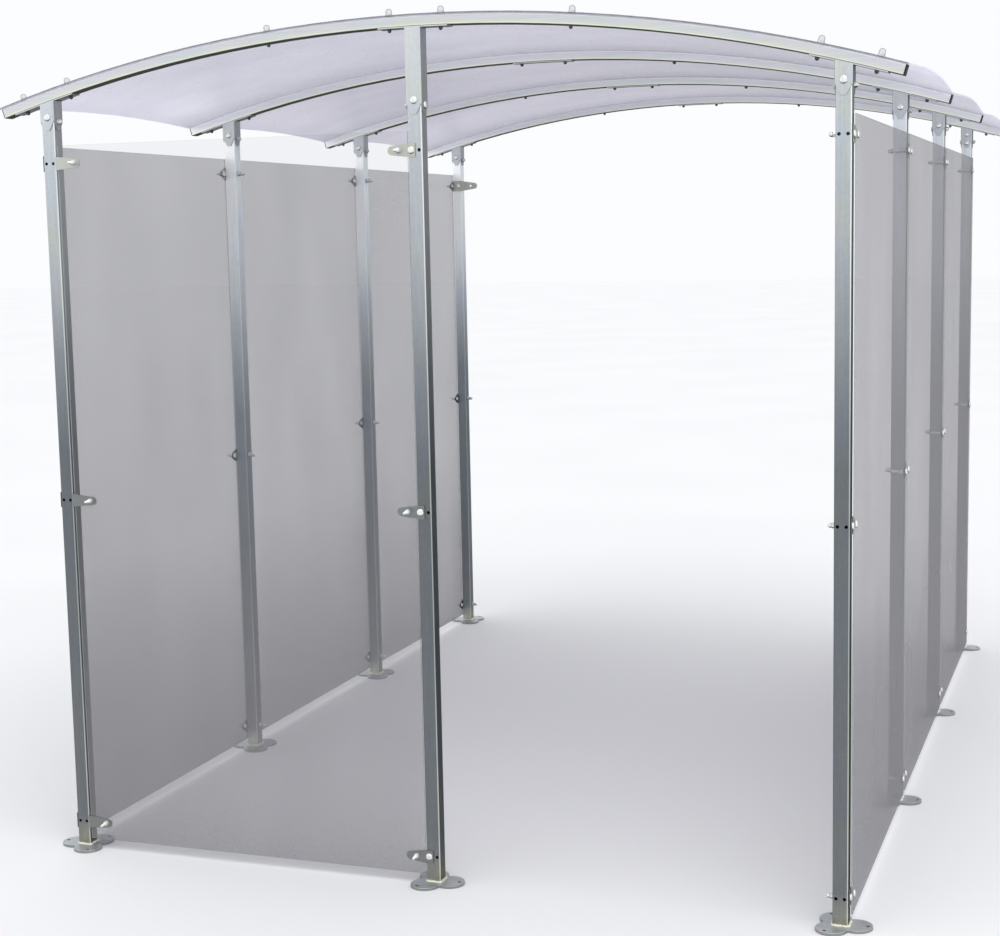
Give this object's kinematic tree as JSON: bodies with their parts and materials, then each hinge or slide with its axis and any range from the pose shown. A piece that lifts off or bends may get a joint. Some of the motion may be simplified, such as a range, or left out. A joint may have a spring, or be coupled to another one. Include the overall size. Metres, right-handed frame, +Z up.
{
  "type": "bike shelter",
  "caption": "Open-fronted bike shelter of galvanised tube posts with a curved translucent roof on four hoops and clear plastic side sheets.",
  "frame": {"origin": "centre of the footprint on the ground, midway between the side walls and between the first and last row of posts", "axes": "+Z up, +Y from the open front to the back, +X to the right seen from the front"},
  "size_m": [2.5594, 3.3912, 2.3798],
  "materials": {
    "post_zinc": "bright zinc, slightly dull",
    "hoop_zinc": "bright zinc with a yellow-green tint",
    "bracket_zinc": "bright zinc",
    "foot_zinc": "dull zinc",
    "black_plastic": "matt",
    "roof_plastic": "translucent, light lavender grey",
    "clear_plastic": "clear"
  },
  "bodies": {
    "root": {"post_left_1": "post_zinc", "post_left_2": "post_zinc", "post_left_3": "post_zinc", "post_left_4": "post_zinc", "post_right_1": "post_zinc", "post_right_2": "post_zinc", "post_right_3": "post_zinc", "post_right_4": "post_zinc", "post_front_middle": "post_zinc", "foot_plate_left_1": "foot_zinc", "foot_plate_left_2": "foot_zinc", "foot_plate_left_3": "foot_zinc", "foot_plate_left_4": "foot_zinc", "foot_plate_right_1": "foot_zinc", "foot_plate_right_2": "foot_zinc", "foot_plate_right_3": "foot_zinc", "foot_plate_right_4": "foot_zinc", "foot_plate_front_middle": "foot_zinc", "roof_hoop_1": "hoop_zinc", "roof_hoop_2": "hoop_zinc", "roof_hoop_3": "hoop_zinc", "roof_hoop_4": "hoop_zinc", "hoop_end_caps": "black_plastic", "hoop_splice_plates": "bracket_zinc", "head_brackets_left": "bracket_zinc", "head_brackets_right": "bracket_zinc", "head_bracket_front_middle": "bracket_zinc", "sheet_lugs_left": "bracket_zinc", "sheet_lugs_right": "bracket_zinc", "front_and_back_clips": "bracket_zinc", "roof_sheet_front": "roof_plastic", "roof_sheet_middle": "roof_plastic", "roof_sheet_back": "roof_plastic", "left_sheet_front": "clear_plastic", "left_sheet_middle": "clear_plastic", "left_sheet_back": "clear_plastic", "right_sheet_front": "clear_plastic", "right_sheet_middle": "clear_plastic", "right_sheet_back": "clear_plastic", "front_sheet": "clear_plastic"}
  },
  "joints": []
}
